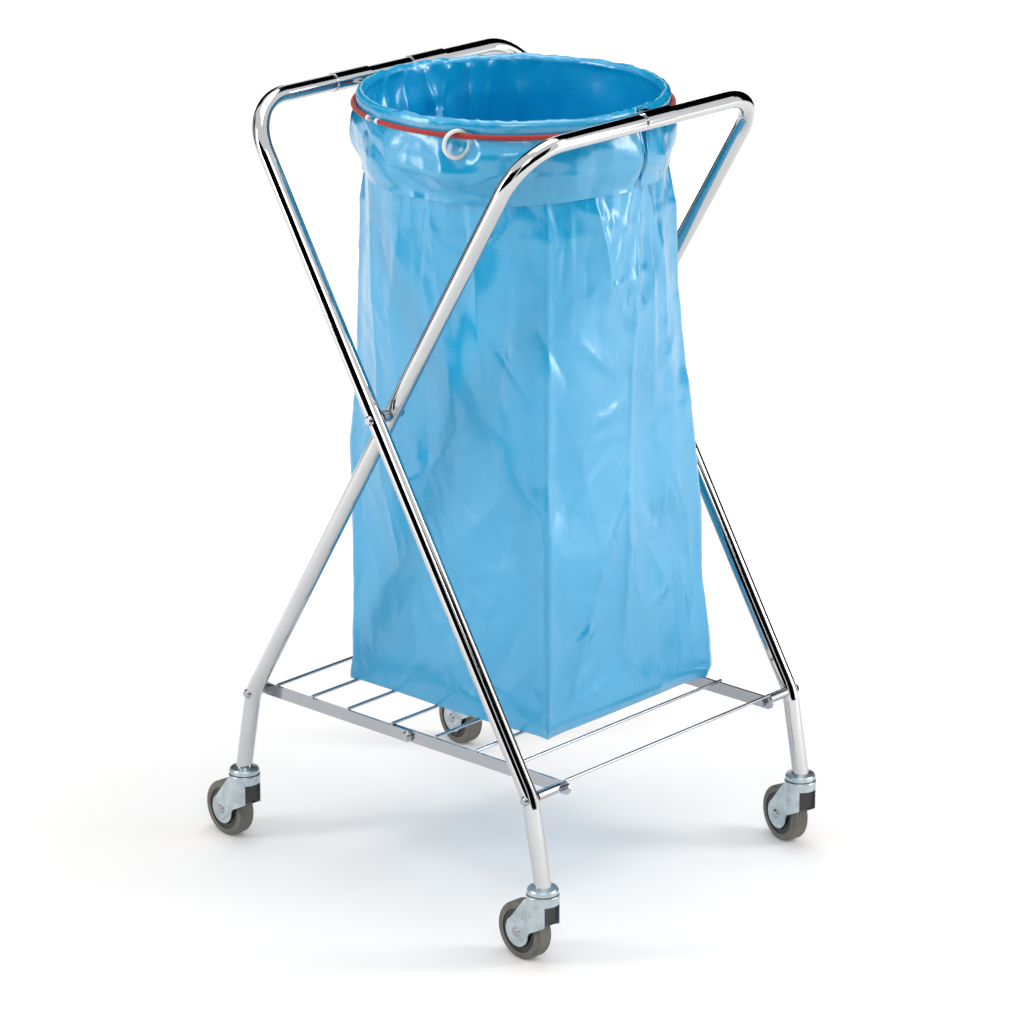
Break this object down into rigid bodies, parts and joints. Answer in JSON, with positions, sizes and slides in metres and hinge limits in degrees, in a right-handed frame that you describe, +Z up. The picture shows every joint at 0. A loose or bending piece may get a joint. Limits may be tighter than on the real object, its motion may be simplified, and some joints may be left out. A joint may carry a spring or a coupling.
{
  "type": "bin bag holder",
  "caption": "Folding X-frame trolley on castors with a wire shelf, holding a blue refuse bag open on a hinged ring under a red elastic band.",
  "frame": {"origin": "on the floor, in the middle of the overall box of the opened trolley", "axes": "X is the way the two frames open and close, from the bar that carries the ring's hinges to the bar under its clip; Y runs along the two top bars; Z is up"},
  "size_m": [0.605, 0.5188, 0.957],
  "materials": {
    "frame_chrome": "polished chrome plate",
    "shelf_chrome": "chrome plate, slightly duller",
    "bolt_steel": "bright plated fasteners",
    "zinc": "blue zinc plate",
    "tyre_rubber": "grey-brown rubber tread",
    "hub_plastic": "near-black moulded plastic",
    "bag_film": "thin glossy blue film",
    "band_elastic": "red elastic cord",
    "white_plastic": "white moulded plastic"
  },
  "bodies": {
    "outer_frame": {"outer_frame_tube": "frame_chrome", "cross_bolts": "bolt_steel", "cross_nuts": "bolt_steel", "cross_spacers": "frame_chrome", "outer_leg_bolts": "bolt_steel", "outer_leg_nuts": "bolt_steel", "outer_leg_spacers": "frame_chrome", "front_castor_cup": "zinc", "right_castor_cup": "zinc"},
    "inner_frame": {"inner_frame_tube": "frame_chrome", "inner_leg_bolts": "bolt_steel", "inner_leg_nuts": "bolt_steel", "inner_leg_spacers": "frame_chrome", "left_castor_cup": "zinc", "back_castor_cup": "zinc"},
    "left_shelf": {"left_strip_near": "shelf_chrome", "left_strip_far": "shelf_chrome", "left_wires": "shelf_chrome", "middle_bolts": "bolt_steel"},
    "right_shelf": {"right_strip_near": "shelf_chrome", "right_strip_far": "shelf_chrome", "right_wires": "shelf_chrome", "stop_wire": "shelf_chrome", "middle_nuts": "bolt_steel"},
    "ring": {"ring_rod": "frame_chrome", "ring_bracket_near": "frame_chrome", "ring_bracket_far": "frame_chrome", "ring_clip": "frame_chrome", "bag": "bag_film", "elastic_band": "band_elastic", "band_hook": "bolt_steel", "band_caps": "white_plastic", "pull_ring": "white_plastic"},
    "front_castor": {"front_castor_fork": "zinc", "front_castor_guard": "hub_plastic", "front_castor_axle": "zinc"},
    "front_wheel": {"front_castor_tyre": "tyre_rubber", "front_castor_hub": "hub_plastic"},
    "right_castor": {"right_castor_fork": "zinc", "right_castor_guard": "hub_plastic", "right_castor_axle": "zinc"},
    "right_wheel": {"right_castor_tyre": "tyre_rubber", "right_castor_hub": "hub_plastic"},
    "left_castor": {"left_castor_fork": "zinc", "left_castor_guard": "hub_plastic", "left_castor_axle": "zinc"},
    "left_wheel": {"left_castor_tyre": "tyre_rubber", "left_castor_hub": "hub_plastic"},
    "back_castor": {"back_castor_fork": "zinc", "back_castor_guard": "hub_plastic", "back_castor_axle": "zinc"},
    "back_wheel": {"back_castor_tyre": "tyre_rubber", "back_castor_hub": "hub_plastic"}
  },
  "joints": [
    {"name": "fold", "type": "hinge", "parent": "outer_frame", "child": "inner_frame", "pos_m": [0.02297, -0.00323, 0.60438], "axis": [0, -1, 0], "range_deg": [0, 37]},
    {"name": "left_shelf_fold", "type": "hinge", "parent": "inner_frame", "child": "left_shelf", "pos_m": [-0.21803, -0.00323, 0.2], "axis": [0, -1, 0], "range_deg": [0, 47]},
    {"name": "right_shelf_fold", "type": "hinge", "parent": "outer_frame", "child": "right_shelf", "pos_m": [0.26397, -0.00323, 0.2], "axis": [0, 1, 0], "range_deg": [0, 47]},
    {"name": "ring_lift", "type": "hinge", "parent": "outer_frame", "child": "ring", "pos_m": [-0.18003, -0.00323, 0.945], "axis": [0, -1, 0], "range_deg": [0, 105.2], "deforming": ["bag"]},
    {"name": "front_swivel", "type": "hinge", "parent": "outer_frame", "child": "front_castor", "pos_m": [0.28297, -0.23923, 0], "axis": [0, 0, 1], "continuous": true},
    {"name": "front_roll", "type": "hinge", "parent": "front_castor", "child": "front_wheel", "pos_m": [0.25306, -0.23683, 0.035], "axis": [0.0802, 0.9968, 0], "continuous": true},
    {"name": "right_swivel", "type": "hinge", "parent": "outer_frame", "child": "right_castor", "pos_m": [0.28297, 0.23277, 0], "axis": [0, 0, 1], "continuous": true},
    {"name": "right_roll", "type": "hinge", "parent": "right_castor", "child": "right_wheel", "pos_m": [0.25413, 0.24103, 0.035], "axis": [0.2756, 0.9613, 0], "continuous": true},
    {"name": "left_swivel", "type": "hinge", "parent": "inner_frame", "child": "left_castor", "pos_m": [-0.23703, -0.21123, 0], "axis": [0, 0, 1], "continuous": true},
    {"name": "left_roll", "type": "hinge", "parent": "left_castor", "child": "left_wheel", "pos_m": [-0.26689, -0.20831, 0.035], "axis": [0.0976, 0.9952, 0], "continuous": true},
    {"name": "back_swivel", "type": "hinge", "parent": "inner_frame", "child": "back_castor", "pos_m": [-0.23703, 0.20477, 0], "axis": [0, 0, 1], "continuous": true},
    {"name": "back_roll", "type": "hinge", "parent": "back_castor", "child": "back_wheel", "pos_m": [-0.26658, 0.20997, 0.035], "axis": [0.1736, 0.9848, 0], "continuous": true}
  ],
  "couplings": [
    {"joint": "left_shelf_fold", "follows": "fold", "ratio": 1.2684},
    {"joint": "right_shelf_fold", "follows": "fold", "ratio": 1.2684},
    {"joint": "ring_lift", "follows": "fold", "ratio": 2.838}
  ]
}
